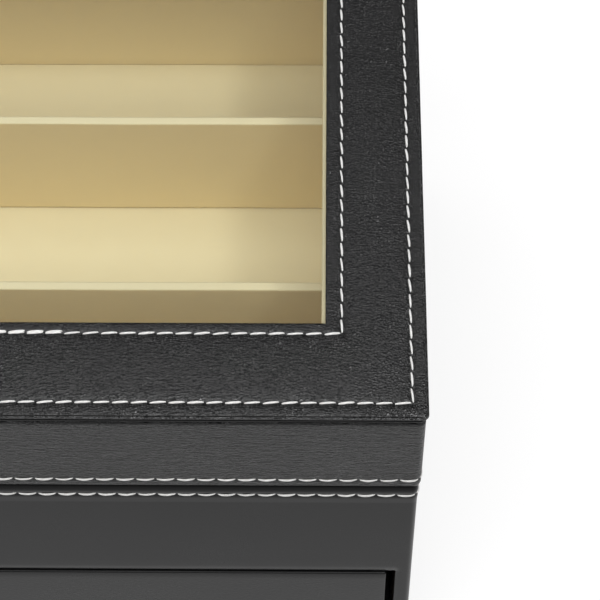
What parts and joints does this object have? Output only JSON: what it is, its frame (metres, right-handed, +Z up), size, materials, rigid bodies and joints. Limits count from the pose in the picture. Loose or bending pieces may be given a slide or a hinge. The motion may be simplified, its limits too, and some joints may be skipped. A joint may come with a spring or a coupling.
{
  "type": "sunglasses display case",
  "caption": "Leather-covered display case for sunglasses: hinged glass-topped lid over a divided tray, a divided drawer below, and a box lock with a key at the front.",
  "frame": {"origin": "middle of the felt face that the case stands on", "axes": "+X along the case's long side to the right, +Y towards the back, +Z up; the front faces -Y"},
  "size_m": [0.3374, 0.2159, 0.15],
  "materials": {
    "black_leather": "smooth black faux leather with a fine grain and white stitching, satin",
    "cream_suede": "cream velvet-like suede over card, matte",
    "fibreboard": "plain medium-density fibreboard",
    "black_paper": "black lining paper",
    "black_felt": "black felt, matte",
    "window_glass": "clear float glass, polished",
    "polished_nickel": "bright nickel plate",
    "hinge_nickel": "nickel-plated steel, lightly brushed",
    "zinc_steel": "zinc-plated steel"
  },
  "bodies": {
    "base": {"back_board": "fibreboard", "base_felt": "black_felt", "body_leather": "black_leather", "bottom_board": "fibreboard", "cavity_floor_liner": "black_paper", "front_rail_board": "fibreboard", "hinge_body_leaf_left": "hinge_nickel", "hinge_body_leaf_right": "hinge_nickel", "hinge_body_screws": "zinc_steel", "hinge_pin_left": "zinc_steel", "hinge_pin_right": "zinc_steel", "left_side_board": "fibreboard", "lock_case": "polished_nickel", "lock_screws": "zinc_steel", "right_side_board": "fibreboard", "shelf_board": "fibreboard", "tray_cross_divider_1": "cream_suede", "tray_floor_lining": "cream_suede", "tray_lining_back": "cream_suede", "tray_lining_front": "cream_suede", "tray_lining_left": "cream_suede", "tray_lining_right": "cream_suede", "tray_long_divider_1": "cream_suede", "tray_long_divider_2": "cream_suede"},
    "lid": {"glass_pane": "window_glass", "glass_retainer": "cream_suede", "hinge_lid_leaf_left": "hinge_nickel", "hinge_lid_leaf_right": "hinge_nickel", "hinge_lid_screws": "zinc_steel", "lid_back_board": "fibreboard", "lid_bead_frame": "black_leather", "lid_front_board": "fibreboard", "lid_left_board": "fibreboard", "lid_lining": "cream_suede", "lid_right_board": "fibreboard", "lid_skirt_leather": "black_leather", "lid_top_board": "fibreboard", "lid_top_leather": "black_leather", "lock_strike": "polished_nickel", "strike_screws": "zinc_steel"},
    "drawer": {"drawer_back_board": "fibreboard", "drawer_bottom_board": "fibreboard", "drawer_cross_divider_1": "cream_suede", "drawer_floor_lining": "cream_suede", "drawer_front_board": "fibreboard", "drawer_front_leather": "black_leather", "drawer_knob": "polished_nickel", "drawer_left_board": "fibreboard", "drawer_lining": "cream_suede", "drawer_long_divider_1": "cream_suede", "drawer_long_divider_2": "cream_suede", "drawer_right_board": "fibreboard", "knob_screw": "zinc_steel"},
    "lock_plug": {"lock_plug": "polished_nickel", "plug_clip": "zinc_steel", "lock_cam": "zinc_steel"},
    "key": {"key": "polished_nickel"}
  },
  "joints": [
    {"name": "lid_hinge", "type": "hinge", "parent": "base", "child": "lid", "pos_m": [0, 0.0951, 0.113], "axis": [-1, 0, 0], "range_deg": [0, 95]},
    {"name": "drawer_slide", "type": "slide", "parent": "base", "child": "drawer", "axis": [0, -1, 0], "range_m": [0, 0.13]},
    {"name": "lock_turn", "type": "hinge", "parent": "base", "child": "lock_plug", "pos_m": [0, -0.1007, 0.09697], "axis": [0, -1, 0], "range_deg": [0, 90]},
    {"name": "key_pull", "type": "slide", "parent": "lock_plug", "child": "key", "axis": [0, -1, 0], "range_m": [0, 0.022]}
  ]
}
